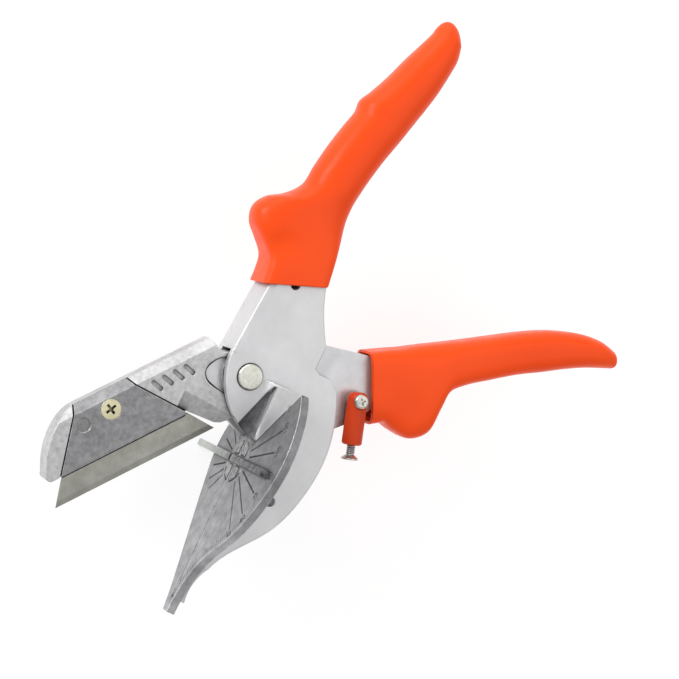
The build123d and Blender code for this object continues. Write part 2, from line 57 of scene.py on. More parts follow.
MM = 0.001
BEVEL_SAMPLES = 6
SHADE_SAMPLES = 6
SHARP_ANGLE = 40

# Zones of special finish and of painted shade, as (low, high) limits in metres.
FLUTE_X = (0.004, 0.0262)
FLUTE_Y = (-0.001, 0.0110)
FLUTE_Z = (0.0053, 0.00795)
FLARE_X = (0.004, 0.0300)
FLARE_Y = (-0.001, 0.0125)
SHANK_X = (0.030, 1.0)
RECESS_X = (0.0165, 0.0400)
RECESS_Y = (0.0120, 0.0262)
RECESS_Z = (0.0031, 0.0035)
TABLE_FADE_X = (-0.030, 0.014)
FENCE_SHADE_Z = (-0.026, 0.006)

# ---------------------------------------------------------------- materials


def new_material(name):
    """A node material with its Principled shader, ready for wiring."""
    mat = bpy.data.materials.new(name)
    mat.use_nodes = True
    nodes = mat.node_tree.nodes
    return mat, nodes, mat.node_tree.links, nodes["Principled BSDF"]


def noise(nodes, links, coords, scale, detail=4.0, rough=0.55, stretch=None):
    """A noise texture on object coordinates, optionally stretched per axis."""
    tex = nodes.new("ShaderNodeTexNoise")
    tex.inputs["Scale"].default_value = scale
    tex.inputs["Detail"].default_value = detail
    tex.inputs["Roughness"].default_value = rough
    if stretch is None:
        links.new(coords, tex.inputs["Vector"])
    else:
        mapping = nodes.new("ShaderNodeMapping")
        mapping.inputs["Scale"].default_value = stretch
        links.new(coords, mapping.inputs["Vector"])
        links.new(mapping.outputs["Vector"], tex.inputs["Vector"])
    return tex.outputs["Fac"]


def ramp(nodes, links, value, stops):
    """A colour ramp; stops are (position, colour) pairs."""
    node = nodes.new("ShaderNodeValToRGB")
    node.color_ramp.elements[0].position = stops[0][0]
    node.color_ramp.elements[0].color = (*stops[0][1], 1)
    node.color_ramp.elements[1].position = stops[-1][0]
    node.color_ramp.elements[1].color = (*stops[-1][1], 1)
    for position, colour in stops[1:-1]:
        element = node.color_ramp.elements.new(position)
        element.color = (*colour, 1)
    links.new(value, node.inputs["Fac"])
    return node.outputs["Color"]


def mix(nodes, links, factor, a, b):
    """Blend two colours by a factor socket."""
    node = nodes.new("ShaderNodeMix")
    node.data_type = "RGBA"
    links.new(factor, node.inputs[0])
    for socket, value in ((node.inputs[6], a), (node.inputs[7], b)):
        if isinstance(value, tuple):
            socket.default_value = (*value, 1)
        else:
            links.new(value, socket)
    return node.outputs[2]


def spread(nodes, links, value, low, high, start=0.0, end=1.0):
    """Map a value into a range."""
    node = nodes.new("ShaderNodeMapRange")
    node.inputs["From Min"].default_value = start
    node.inputs["From Max"].default_value = end
    node.inputs["To Min"].default_value = low
    node.inputs["To Max"].default_value = high
    links.new(value, node.inputs["Value"])
    return node.outputs["Result"]


def bump(nodes, links, height, strength, distance, normal=None):
    """A bump from a height socket."""
    node = nodes.new("ShaderNodeBump")
    node.inputs["Strength"].default_value = strength
    node.inputs["Distance"].default_value = distance
    links.new(height, node.inputs["Height"])
    if normal is not None:
        links.new(normal, node.inputs["Normal"])
    return node.outputs["Normal"]


def edge_wear(nodes, links, width):
    """About 1 on a convex edge and 0 on a flat, from a bevelled normal; it lightens edges partly as
    wear and partly as a painted highlight.
    """
    bevel = nodes.new("ShaderNodeBevel")
    bevel.samples = BEVEL_SAMPLES
    bevel.inputs["Radius"].default_value = width
    geo = nodes.new("ShaderNodeNewGeometry")
    dot = nodes.new("ShaderNodeVectorMath")
    dot.operation = "DOT_PRODUCT"
    links.new(bevel.outputs["Normal"], dot.inputs[0])
    links.new(geo.outputs["Normal"], dot.inputs[1])
    wear_and_highlight = spread(nodes, links, dot.outputs["Value"], 1.0, 0.0, 0.80, 0.995)
    return wear_and_highlight, bevel.outputs["Normal"]


def creases(nodes, links, distance, floor_level):
    """Painted shade from ambient occlusion: from floor_level deep in a crease to 1 on an open surface.
    """
    shade = nodes.new("ShaderNodeAmbientOcclusion")
    shade.samples = SHADE_SAMPLES
    shade.inputs["Distance"].default_value = distance
    return spread(nodes, links, shade.outputs["AO"], floor_level, 1.0, 0.25, 0.85)


def scaled(nodes, links, colour, factor):
    """A colour multiplied by a grey factor socket."""
    node = nodes.new("ShaderNodeMix")
    node.data_type = "RGBA"
    node.blend_type = "MULTIPLY"
    node.inputs[0].default_value = 1.0
    links.new(colour, node.inputs[6])
    links.new(factor, node.inputs[7])
    return node.outputs[2]


def inside(nodes, links, coords, axis, limits, blur):
    """1 where a coordinate lies between two limits, with soft ends."""
    low, high = limits
    parts = nodes.new("ShaderNodeSeparateXYZ")
    links.new(coords, parts.inputs[0])
    rise = spread(nodes, links, parts.outputs[axis], 0.0, 1.0, low - blur, low + blur)
    fall = spread(nodes, links, parts.outputs[axis], 1.0, 0.0, high - blur, high + blur)
    return product(nodes, links, rise, fall)


def product(nodes, links, first, second):
    """Two values multiplied."""
    node = nodes.new("ShaderNodeMath")
    node.operation = "MULTIPLY"
    links.new(first, node.inputs[0])
    links.new(second, node.inputs[1])
    return node.outputs[0]


def cast_metal(name, dark, light, rough, mottle=260.0, grain=2600.0, grain_depth=0.00002,
               worn_highlight_edge=(0.8, 0.8, 0.8), metallic=1.0, round_edge=0.0005, rough_spread=0.12,
               mottle_width=0.25, crease_shade_floor=0.35, crease_shade_reach=0.0016, finish_and_shade=None, wear_highlight_mask=None):
    """Die-cast metal: mottled tone, fine pitting, edges lightened partly by wear and partly by painted
    highlight, and painted shade in creases.
    """
    mat, nodes, links, shader = new_material(name)
    coords = nodes.new("ShaderNodeTexCoord").outputs["Object"]
    blotch = noise(nodes, links, coords, mottle, 6.0, 0.62)
    cloud = noise(nodes, links, coords, mottle * 0.17, 3.0, 0.5)
    both = nodes.new("ShaderNodeMath")
    both.operation = "MULTIPLY_ADD"
    links.new(blotch, both.inputs[0])
    both.inputs[1].default_value = 0.6
    links.new(spread(nodes, links, cloud, 0.0, 0.4), both.inputs[2])
    tone = ramp(nodes, links, both.outputs[0],
                [(0.5 - mottle_width / 2, dark), (0.5 + mottle_width / 2, light)])
    # Lighter convex edges: partly wear, partly a painted highlight.
    edge, soft_normal = edge_wear(nodes, links, round_edge)
    wear_and_highlight = product(nodes, links, edge, spread(nodes, links, blotch, 0.35, 1.0, 0.35, 0.6))
    if wear_highlight_mask is not None:
        wear_and_highlight = product(nodes, links, wear_and_highlight, wear_highlight_mask(nodes, links, coords))
    if finish_and_shade is not None:
        tone = finish_and_shade(nodes, links, coords, tone)
    tone = mix(nodes, links, wear_and_highlight, tone, worn_highlight_edge)
    # Painted shade: ambient occlusion darkens the colour in creases, seams and recesses.
    tone = scaled(nodes, links, tone, creases(nodes, links, crease_shade_reach, crease_shade_floor))
    links.new(tone, shader.inputs["Base Color"])
    half_spread = rough_spread / 2
    links.new(spread(nodes, links, cloud, rough - half_spread, rough + half_spread, 0.3, 0.7),
              shader.inputs["Roughness"])
    shader.inputs["Metallic"].default_value = metallic
    fine = noise(nodes, links, coords, grain, 3.0, 0.6)
    links.new(bump(nodes, links, fine, 0.5, grain_depth, soft_normal), shader.inputs["Normal"])
    return mat


def brushed_metal(name, tone_a, tone_b, rough, stretch, crease_shade_floor=None):
    """Ground or drawn metal with fine parallel lines along the stretched axis, edges lightened partly
    as wear and partly as painted highlight, and optional painted crease shade.
    """
    mat, nodes, links, shader = new_material(name)
    coords = nodes.new("ShaderNodeTexCoord").outputs["Object"]
    lines = noise(nodes, links, coords, 900.0, 3.0, 0.6, stretch)
    stain = noise(nodes, links, coords, 120.0, 4.0, 0.6)
    base = ramp(nodes, links, stain, [(0.35, tone_a), (0.65, tone_b)])
    # Lighter edges: partly wear, partly a painted highlight.
    edge, soft_normal = edge_wear(nodes, links, 0.0002)
    tone = mix(nodes, links, spread(nodes, links, edge, 0.0, 0.6), base, (0.85, 0.85, 0.83))
    # Painted shade in creases, from ambient occlusion.
    if crease_shade_floor is not None:
        tone = scaled(nodes, links, tone, creases(nodes, links, 0.0022, crease_shade_floor))
    links.new(tone, shader.inputs["Base Color"])
    links.new(spread(nodes, links, lines, rough - 0.08, rough + 0.1, 0.3, 0.7),
              shader.inputs["Roughness"])
    shader.inputs["Metallic"].default_value = 1.0
    links.new(bump(nodes, links, lines, 0.4, 0.000006, soft_normal), shader.inputs["Normal"])
    return mat


def moulded_plastic(name, deep, bright, rough):
    """Moulded plastic with a faint flow tone, orange peel and scuffs."""
    mat, nodes, links, shader = new_material(name)
    coords = nodes.new("ShaderNodeTexCoord").outputs["Object"]
    flow = noise(nodes, links, coords, 22.0, 3.0, 0.5)
    speck = noise(nodes, links, coords, 1500.0, 2.0, 0.6)
    tone = ramp(nodes, links, flow, [(0.3, deep), (0.7, bright)])
    links.new(tone, shader.inputs["Base Color"])
    scuff = noise(nodes, links, coords, 160.0, 6.0, 0.7, (1.0, 3.0, 1.0))
    links.new(spread(nodes, links, scuff, rough - 0.05, rough + 0.12, 0.35, 0.75),
              shader.inputs["Roughness"])
    shader.inputs["Coat Weight"].default_value = 0.05
    shader.inputs["Coat Roughness"].default_value = 0.12
    shader.inputs["Specular IOR Level"].default_value = 0.16
    waves = noise(nodes, links, coords, 420.0, 2.0, 0.5)
    first = bump(nodes, links, waves, 0.25, 0.00003)
    links.new(bump(nodes, links, speck, 0.15, 0.000009, first), shader.inputs["Normal"])
    return mat


def cast_skin(nodes, links, coords, tone):
    """Lay painted shade, a dark mottled tone, in the flute beside the table."""
    zone = product(nodes, links, inside(nodes, links, coords, "X", FLUTE_X, 0.0010),
                   inside(nodes, links, coords, "Y", FLUTE_Y, 0.0004))
    floor_zone = inside(nodes, links, coords, "Z", FLUTE_Z, 0.00004)
    mottle_noise = noise(nodes, links, coords, 500.0, 4.0, 0.6)
    painted_shade_tone = ramp(nodes, links, mottle_noise, [(0.35, (0.10, 0.10, 0.105)), (0.7, (0.20, 0.20, 0.205))])
    return mix(nodes, links, product(nodes, links, zone, floor_zone), tone, painted_shade_tone)


def outside_flare(nodes, links, coords):
    """0 on the blend between plate and table, whose soft edges get neither the wear nor the painted
    highlight.
    """
    zone = product(nodes, links, inside(nodes, links, coords, "X", FLARE_X, 0.0008),
                   inside(nodes, links, coords, "Y", FLARE_Y, 0.0006))
    return spread(nodes, links, zone, 1.0, 0.0)


def polished_shank(nodes, links, coords, tone):
    """The lever is ground bright behind the pivot and in the recess, and mottled on the jaw."""
    behind = inside(nodes, links, coords, "X", SHANK_X, 0.004)
    fine = noise(nodes, links, coords, 150.0, 4.0, 0.6)
    ground = ramp(nodes, links, fine, [(0.3, (0.60, 0.60, 0.61)), (0.7, (0.70, 0.70, 0.715))])
    floor_zone = inside(nodes, links, coords, "Z", RECESS_Z, 0.00005)
    plan = product(nodes, links, inside(nodes, links, coords, "X", RECESS_X, 0.0003),
                   inside(nodes, links, coords, "Y", RECESS_Y, 0.0003))
    bright = nodes.new("ShaderNodeMath")
    bright.operation = "MAXIMUM"
    links.new(behind, bright.inputs[0])
    links.new(product(nodes, links, floor_zone, plan), bright.inputs[1])
    return mix(nodes, links, bright.outputs[0], tone, ground)


def grimy_heel(nodes, links, coords, tone):
    """The table's tone is scaled along X, from 1.08 at X = -30 mm down to 0.72 at X = 14 mm."""
    parts = nodes.new("ShaderNodeSeparateXYZ")
    links.new(coords, parts.inputs[0])
    return scaled(nodes, links, tone,
                  spread(nodes, links, parts.outputs["X"], 1.08, 0.72, *TABLE_FADE_X))


# The polished casting carries painted shade in the flute beside the table, and no edge wear or
# highlight on the flare.
body_metal = cast_metal("polished_casting", (0.64, 0.64, 0.65), (0.73, 0.73, 0.74), 0.46,
                        mottle=90.0, grain=1800.0, grain_depth=0.000012, round_edge=0.0009,
                        worn_highlight_edge=(1.0, 1.0, 1.0), rough_spread=0.10, metallic=0.7,
                        finish_and_shade=cast_skin, wear_highlight_mask=outside_flare)
table_metal = cast_metal("blasted_table", (0.27, 0.265, 0.275), (0.47, 0.465, 0.48), 0.52,
                         mottle=240.0, grain=3200.0, grain_depth=0.00003, crease_shade_floor=0.25,
                         worn_highlight_edge=(0.95, 0.95, 0.95), round_edge=0.0005, metallic=0.85,
                         finish_and_shade=grimy_heel)
jaw_metal = cast_metal("mottled_jaw", (0.43, 0.43, 0.43), (0.64, 0.64, 0.64), 0.44,
                       mottle=620.0, grain=2400.0, grain_depth=0.00004, crease_shade_floor=0.12,
                       worn_highlight_edge=(0.95, 0.95, 0.94), round_edge=0.0006, metallic=0.85,
                       finish_and_shade=polished_shank)
cover_metal = cast_metal("mottled_cover", (0.225, 0.225, 0.23), (0.37, 0.37, 0.38), 0.40,
                         mottle=520.0, grain=2400.0, grain_depth=0.00004, crease_shade_floor=0.15,
                         worn_highlight_edge=(0.85, 0.85, 0.84), round_edge=0.0005)
insert_metal = cast_metal("anvil_metal", (0.20, 0.20, 0.205), (0.42, 0.42, 0.43), 0.45,
                          mottle=600.0, grain=2600.0, grain_depth=0.00003)
blade_metal = brushed_metal("blade_steel", (0.33, 0.325, 0.29), (0.43, 0.425, 0.385), 0.38,
                            (1.0, 1.0, 1.0))
bright_metal = brushed_metal("plated_steel", (0.56, 0.555, 0.50), (0.68, 0.67, 0.60), 0.30,
                             (1.0, 1.0, 0.2))
zinc_metal = brushed_metal("yellow_zinc", (0.58, 0.53, 0.33), (0.76, 0.71, 0.48), 0.30,
                           (1.0, 1.0, 0.3), crease_shade_floor=0.0)
spring_metal = brushed_metal("spring_wire", (0.30, 0.30, 0.31), (0.42, 0.42, 0.43), 0.35,
                             (1.0, 1.0, 0.3))
brass_metal = brushed_metal("turned_brass", (0.55, 0.42, 0.18), (0.70, 0.56, 0.28), 0.32,
                            (0.3, 0.3, 3.0))
grip_plastic = moulded_plastic("orange_grip", (0.90, 0.066, 0.004), (0.96, 0.082, 0.007), 0.34)
latch_plastic = moulded_plastic("red_latch", (0.46, 0.034, 0.006), (0.62, 0.052, 0.010), 0.38)


def engraving_material():
    """Dark, matt bottom of an engraved line, with a little bare metal in it; the same dark is laid as
    painted shadow.
    """
    mat, nodes, links, shader = new_material("engraving_and_shadow")
    coords = nodes.new("ShaderNodeTexCoord").outputs["Object"]
    mottle_noise = noise(nodes, links, coords, 700.0, 4.0, 0.6)
    links.new(ramp(nodes, links, mottle_noise, [(0.35, (0.012, 0.012, 0.014)), (0.75, (0.055, 0.055, 0.06))]),
              shader.inputs["Base Color"])
    links.new(spread(nodes, links, mottle_noise, 0.55, 0.8), shader.inputs["Roughness"])
    shader.inputs["Metallic"].default_value = 0.3
    links.new(bump(nodes, links, mottle_noise, 0.4, 0.00002), shader.inputs["Normal"])
    return mat


def fence_material():
    """Machined strip: pale at its free far end, with painted shade darkening the near half."""
    mat, nodes, links, shader = new_material("fence_strip")
    coords = nodes.new("ShaderNodeTexCoord").outputs["Object"]
    parts = nodes.new("ShaderNodeSeparateXYZ")
    links.new(coords, parts.inputs[0])
    along = spread(nodes, links, parts.outputs["Z"], 0.0, 1.0, *FENCE_SHADE_Z)
    stain = noise(nodes, links, coords, 420.0, 5.0, 0.6)
    pale = ramp(nodes, links, stain, [(0.3, (0.47, 0.50, 0.47)), (0.7, (0.60, 0.62, 0.59))])
    # Painted shade: the near half is mixed toward this dark tone.
    dark = ramp(nodes, links, stain, [(0.35, (0.07, 0.07, 0.075)), (0.70, (0.30, 0.30, 0.31))])
    links.new(mix(nodes, links, along, pale, dark), shader.inputs["Base Color"])
    lines = noise(nodes, links, coords, 900.0, 3.0, 0.6, (3.0, 3.0, 0.1))
    links.new(spread(nodes, links, lines, 0.34, 0.5, 0.3, 0.7), shader.inputs["Roughness"])
    shader.inputs["Metallic"].default_value = 0.9
    links.new(bump(nodes, links, lines, 0.4, 0.00001), shader.inputs["Normal"])
    return mat


engraving_and_shadow = engraving_material()
fence_metal = fence_material()

NODE_MATERIALS = {
    "anvil_lever_casting": body_metal,
    "mitre_table": table_metal,
    "anvil_insert": insert_metal,
    "fence_bar": fence_metal,
    "upper_grip": grip_plastic,
    "lower_grip": grip_plastic,
    "pivot_pin": bright_metal,
    "pivot_collar": bright_metal,
    "pivot_washers": bright_metal,
    "return_spring": spring_metal,
    "pivot_bushing": brass_metal,
    "blade_lever_casting": jaw_metal,
    "blade": blade_metal,
    "blade_cover": cover_metal,
    "cover_screw": zinc_metal,
    "cover_screw_insert": brass_metal,
    "blade_locators": bright_metal,
    "latch_sleeve": latch_plastic,
    "latch_hook_screw": bright_metal,
    "latch_pivot_screw": bright_metal,
    "latch_washer": bright_metal,
}
for node_name, material in NODE_MATERIALS.items():
    node_mesh = bpy.data.objects[node_name].data
    node_mesh.materials.clear()
    node_mesh.materials.append(material)

# ---------------------------------------------------------------- added pieces

joints = {joint["name"]: joint for joint in frame["record"]["behaviour"]["joints"]}
pivot = Vector(joints["handle_pivot"]["pos_m"])
open_turn = Matrix.Rotation(-math.radians(joints["handle_pivot"]["range_deg"][1]), 4, "Z")


def about_pivot(x, y, z):
    """A place on the anvil lever, in mm from the pivot."""
    return pivot + Vector((x, y, z)) * MM


def on_blade_lever(x, y, z):
    """A place on the blade lever, in mm from the pivot with the tool closed."""
    return pivot + open_turn @ (Vector((x, y, z)) * MM)


def smooth_run(rows, steps):
    """Rows of numbers joined by a smooth curve through every row."""
    result = []
    last = len(rows) - 1
    for index in range(last):
        before = rows[max(index - 1, 0)]
        after = rows[min(index + 2, last)]
        for step in range(steps):
            t = step / steps
            row = []
            for p0, p1, p2, p3 in zip(before, rows[index], rows[index + 1], after):
                row.append(0.5 * (2 * p1 + (p2 - p0) * t + (2 * p0 - 5 * p1 + 4 * p2 - p3) * t * t
                                  + (3 * p1 - p0 - 3 * p2 + p3) * t ** 3))
            result.append(row)
    result.append(list(rows[last]))
    return result


def add_piece(name, mesh_data, material, body):
    """Link a mesh as a piece that rides on a body."""
    mesh_data.materials.append(material)
    piece = bpy.data.objects.new(name, mesh_data)
    bpy.context.scene.collection.objects.link(piece)
    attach(piece, body)
    return piece


def ring_mesh(name, rings, close_start=False, close_end=True):
    """Skin a list of equal rings of points into a smooth mesh."""
    mesh = bmesh.new()
    rows = [[mesh.verts.new(point) for point in ring] for ring in rings]
    count = len(rows[0])
    for low, high in zip(rows, rows[1:]):
        for index in range(count):
            following = (index + 1) % count
            mesh.faces.new((low[index], low[following], high[following], high[index]))
    if close_start:
        mesh.faces.new(list(reversed(rows[0])))
    if close_end:
        mesh.faces.new(rows[-1])
    bmesh.ops.recalc_face_normals(mesh, faces=mesh.faces)
    for face in mesh.faces:
        face.smooth = True
    data = bpy.data.meshes.new(name)
    mesh.to_mesh(data)
    mesh.free()
    return data


GRIP_SEGMENTS = 72
TIP_RINGS = 12


def grip_rings(rows, place, tip, dents, lip=1.0, lip_depth=3.0):
    """Rings of a dipped grip: each row has its two edges, half thickness and squareness."""
    stations = smooth_run(rows, 10)
    rings = []

    def ring(station, shift=(0.0, 0.0), shrink=1.0, inset=0.0, push=(0.0, 0.0)):
        ax, ay, bx, by, half, power = station
        mid = Vector(((ax + bx) / 2 + shift[0] + push[0], (ay + by) / 2 + shift[1] + push[1]))
        reach = Vector(((ax - bx) / 2, (ay - by) / 2))
        width = max(reach.length * shrink - inset, 0.02)
        reach = reach.normalized() * width
        thick = max(half * shrink - inset, 0.02)
        points = []
        for index in range(GRIP_SEGMENTS):
            turn = 2 * math.pi * index / GRIP_SEGMENTS
            across = math.copysign(abs(math.cos(turn)) ** (2 / power), math.cos(turn))
            up = math.copysign(abs(math.sin(turn)) ** (2 / power), math.sin(turn))
            x = mid.x + reach.x * across
            y = mid.y + reach.y * across
            z = thick * up
            for dent_x, dent_y, size, depth in dents:
                near = ((x - dent_x) ** 2 + (y - dent_y) ** 2) / (2 * size * size)
                z -= math.copysign(depth * math.exp(-near), z) * min(abs(z) / 3.0, 1.0)
            points.append(place(x, y, z))
        return points

    first, second = stations[0], stations[6]
    inward = Vector(((second[0] + second[2] - first[0] - first[2]) / 2,
                     (second[1] + second[3] - first[1] - first[3]) / 2)).normalized()
    deep = inward * lip_depth
    rings.append(ring(first, inset=lip, push=deep))
    rings.append(ring(first, inset=lip, push=inward * 0.3))
    rings.append(ring(first, inset=lip * 0.75))
    rings.append(ring(first, inset=0.25))
    rings.append(ring(first, push=inward * 0.35))
    rings.extend(ring(station) for station in stations[1:])
    last, before = stations[-1], stations[-4]
    outward = Vector(((last[0] + last[2] - before[0] - before[2]) / 2,
                      (last[1] + last[3] - before[1] - before[3]) / 2)).normalized()
    tip_reach, tip_lean, tip_start = tip
    sideways = Vector((-outward.y, outward.x)) * tip_lean
    begin = math.radians(tip_start)
    for index in range(1, TIP_RINGS + 1):
        turn = begin + (math.pi / 2 - begin) * index / TIP_RINGS
        gone = (math.sin(turn) - math.sin(begin)) / (1 - math.sin(begin))
        shift = outward * tip_reach * gone + sideways * gone
        rings.append(ring(last, shift=shift, shrink=max(math.cos(turn) / math.cos(begin), 0.02)))
    return rings


UPPER_ROWS = (
    (30.4, 10.4, 39.4, -11.9, 9.4, 7.5),
    (34.8, 10.7, 44.0, -11.2, 9.4, 7.0),
    (39.6, 12.0, 48.6, -10.6, 9.4, 6.0),
    (44.0, 16.6, 53.4, -10.1, 9.3, 4.4),
    (48.0, 21.3, 58.0, -9.6, 9.2, 3.2),
    (53.0, 22.9, 62.4, -9.0, 9.1, 2.7),
    (58.0, 20.3, 66.4, -8.8, 9.0, 2.5),
    (62.3, 14.4, 70.4, -8.9, 8.9, 2.4),
    (68.0, 10.1, 75.2, -9.5, 8.9, 2.3),
    (75.5, 9.2, 80.6, -10.4, 8.9, 2.3),
    (84.4, 7.8, 87.4, -11.8, 8.9, 2.3),
    (92.6, 6.0, 94.6, -13.7, 8.9, 2.3),
    (98.6, 4.5, 100.6, -15.2, 8.8, 2.3),
    (103.0, 4.7, 105.6, -16.4, 8.8, 2.3),
    (107.6, 2.4, 110.6, -17.6, 8.7, 2.3),
    (115.0, -0.8, 118.0, -19.1, 8.5, 2.3),
    (123.5, -3.8, 125.2, -20.0, 8.1, 2.3),
    (131.5, -6.9, 131.0, -20.5, 7.3, 2.2),
    (136.4, -8.7, 136.0, -19.6, 6.2, 2.15),
)
LOWER_ROWS = (
    (43.6, -12.2, 33.3, -35.6, 8.0, 5.5),
    (47.4, -13.6, 36.4, -36.6, 8.0, 5.5),
    (51.6, -15.2, 38.6, -37.6, 8.0, 5.0),
    (56.2, -17.0, 40.8, -42.0, 8.0, 4.4),
    (60.6, -18.4, 45.2, -47.4, 8.0, 4.0),
    (65.0, -19.9, 52.4, -48.7, 8.0, 3.6),
    (69.4, -21.5, 59.2, -43.9, 7.9, 3.4),
    (74.0, -23.2, 65.3, -39.4, 7.9, 3.3),
    (79.4, -25.1, 72.4, -39.7, 7.9, 3.3),
    (88.0, -28.0, 81.4, -42.1, 7.9, 3.2),
    (99.8, -32.0, 92.0, -45.2, 7.8, 3.0),
    (108.2, -35.3, 101.6, -48.8, 7.7, 2.9),
    (115.7, -39.2, 109.6, -51.6, 7.6, 2.8),
    (122.6, -43.8, 117.4, -54.8, 7.3, 2.6),
    (128.0, -49.0, 123.6, -58.0, 6.6, 2.4),
    (131.2, -54.2, 128.0, -60.4, 5.0, 2.2),
)
# Each dent has its place, radius and depth; each tip its reach, lean and starting angle.
UPPER_DENTS = ((44.5, 11.0, 3.2, 1.1), (66.0, 4.0, 5.0, 0.5))
UPPER_TIP = (6.2, 1.8, 30.0)
LOWER_TIP = (2.3, 0.0, 20.0)
LOWER_DENTS = ((50.0, -38.0, 4.0, 0.5),)


def cut_prism(data, corners, half_depth, place):
    """The mesh with a prism across the tool cut out of it; the prism's plan is in mm."""
    prism = bmesh.new()
    low, high = ([prism.verts.new(place(x, y, z)) for x, y in corners]
                 for z in (-half_depth, half_depth))
    prism.faces.new(low)
    prism.faces.new(list(reversed(high)))
    for index in range(len(corners)):
        following = (index + 1) % len(corners)
        prism.faces.new((low[index], low[following], high[following], high[index]))
    bmesh.ops.recalc_face_normals(prism, faces=prism.faces)
    prism_data = bpy.data.meshes.new("cutter")
    prism.to_mesh(prism_data)
    prism.free()
    cutter = bpy.data.objects.new("cutter", prism_data)
    whole = bpy.data.objects.new("whole", data)
    for temporary in (cutter, whole):
        bpy.context.scene.collection.objects.link(temporary)
    boolean = whole.modifiers.new("cut", "BOOLEAN")
    boolean.operation = "DIFFERENCE"
    boolean.solver = "FAST"
    boolean.object = cutter
    bpy.context.view_layer.update()
    state = bpy.context.evaluated_depsgraph_get()
    result = bpy.data.meshes.new_from_object(whole.evaluated_get(state))
    for temporary in (cutter, whole):
        bpy.data.objects.remove(temporary)
    result.name = data.name + "_cut"
    result.set_sharp_from_angle(angle=math.radians(SHARP_ANGLE))
    return result


# The other lever's shank nests in the mouth of the upper grip when the handles close.
NEST_CORNERS = ((29.0, -1.5), (46.0, -13.6), (46.0, -20.0), (29.0, -20.0))
NEST_HALF = 5.1
upper_rings = grip_rings(UPPER_ROWS, about_pivot, UPPER_TIP, UPPER_DENTS)
upper_skin = cut_prism(ring_mesh("upper_grip_skin", upper_rings, close_start=True),
                       NEST_CORNERS, NEST_HALF, about_pivot)
upper_piece = add_piece("upper_grip_skin", upper_skin, grip_plastic, "anvil_lever")
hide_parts("upper_grip")
lower_rings = grip_rings(LOWER_ROWS, on_blade_lever, LOWER_TIP, LOWER_DENTS)
lower_piece = add_piece("lower_grip_skin", ring_mesh("lower_grip_skin", lower_rings),
                        grip_plastic, "blade_lever")
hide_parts("lower_grip")

# Dark bottoms and edges of the engraved lines, and the ticks, on the mitre table.
MARK_START = 9.4
MARK_INSET = 0.1
MARK_FLOOR_WIDTH = 0.38
MARK_FLOOR_LEVEL = -0.15
MARK_EDGE_WIDTH = 0.15
MARK_EDGE_OFFSET = 0.285
TICK_LEVEL = 0.012
TICK_WIDTH = 0.2
TICK_INSET = 1.3
NEAR_ENDS = {45: 31.0, 60: 31.0, 75: 29.0, 105: 30.0, 120: 31.0, 135: 31.0}
FAR_ENDS = {45: 19.0, 60: 20.5, 75: 20.5, 105: 20.0, 120: 19.5, 135: 17.0}
line_mesh = bmesh.new()


def add_ribbon(mesh, start, end, width, level):
    """A flat strip between two points of the table plan, in mm."""
    along = (Vector(end) - Vector(start)).normalized()
    side = Vector((-along.y, along.x)) * width / 2
    corners = []
    for point, sign in ((start, 1), (start, -1), (end, -1), (end, 1)):
        corner = Vector(point) + side * sign
        corners.append(mesh.verts.new((corner.x * MM, level * MM, corner.y * MM)))
    face = mesh.faces.new(corners)
    face.normal_update()
    if face.normal.y < 0:
        face.normal_flip()


def plan_direction(angle, side):
    """Direction in the table plan of a mark at a mitre angle."""
    turn = math.radians(side * (angle - 180))
    return Vector((math.cos(turn), -math.sin(turn)))


for side, ends in ((1, NEAR_ENDS), (-1, FAR_ENDS)):
    for angle, reach in ends.items():
        direction = plan_direction(angle, side)
        near = direction * (MARK_START + MARK_INSET)
        far = direction * (reach - MARK_INSET)
        aside = Vector((-direction.y, direction.x)) * MARK_EDGE_OFFSET
        add_ribbon(line_mesh, near, far, MARK_FLOOR_WIDTH, MARK_FLOOR_LEVEL)
        for offset in (aside, -aside):
            add_ribbon(line_mesh, near + offset, far + offset, MARK_EDGE_WIDTH, TICK_LEVEL)

RIM_POINTS = ((-52.0, 2.8), (-45.0, 4.6), (-35.0, 11.5), (-25.0, 24.0), (-18.0, 30.6))
rim_line = smooth_run(RIM_POINTS, 12)
for index, (here, there) in enumerate(zip(rim_line, rim_line[1:])):
    step = (Vector(there) - Vector(here)).normalized()
    inward = Vector((step.y, -step.x))
    if inward.y > 0:
        inward = -inward
    depth = 2.2 if index % 5 == 0 else 1.3
    foot = Vector(here) + inward * TICK_INSET
    add_ribbon(line_mesh, foot, foot + inward * depth, TICK_WIDTH, TICK_LEVEL)
line_data = bpy.data.meshes.new("table_lines")
line_mesh.to_mesh(line_data)
line_mesh.free()
add_piece("table_lines", line_data, engraving_and_shadow, "anvil_lever")

# Angle numbers beside the near ends of the lines.
NUMBER_SIZE = 3.0
NUMBER_GAP = 2.2
SQUARE_REACH = 34.6
for angle in (45, 60, 75, 90, 105, 120, 135):
    direction = plan_direction(angle, 1)
    reach = SQUARE_REACH if angle == 90 else NEAR_ENDS[angle] + NUMBER_GAP
    curve = bpy.data.curves.new("number_%d" % angle, "FONT")
    curve.body = str(angle)
    curve.size = NUMBER_SIZE * MM
    curve.align_x = "CENTER"
    curve.align_y = "CENTER"
    curve.extrude = 0.01 * MM
    number = bpy.data.objects.new("number_%d" % angle, curve)
    bpy.context.scene.collection.objects.link(number)
    top = Vector((-direction.x, 0, -direction.y))
    normal = Vector((0, 1, 0))
    right = top.cross(normal)
    spot = Vector((direction.x * reach, TICK_LEVEL, direction.y * reach)) * MM
    number.matrix_world = Matrix((
        (right.x, top.x, normal.x, spot.x),
        (right.y, top.y, normal.y, spot.y),
        (right.z, top.z, normal.z, spot.z),
        (0, 0, 0, 1),
    ))
    curve.materials.append(engraving_and_shadow)
    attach(number, "anvil_lever")

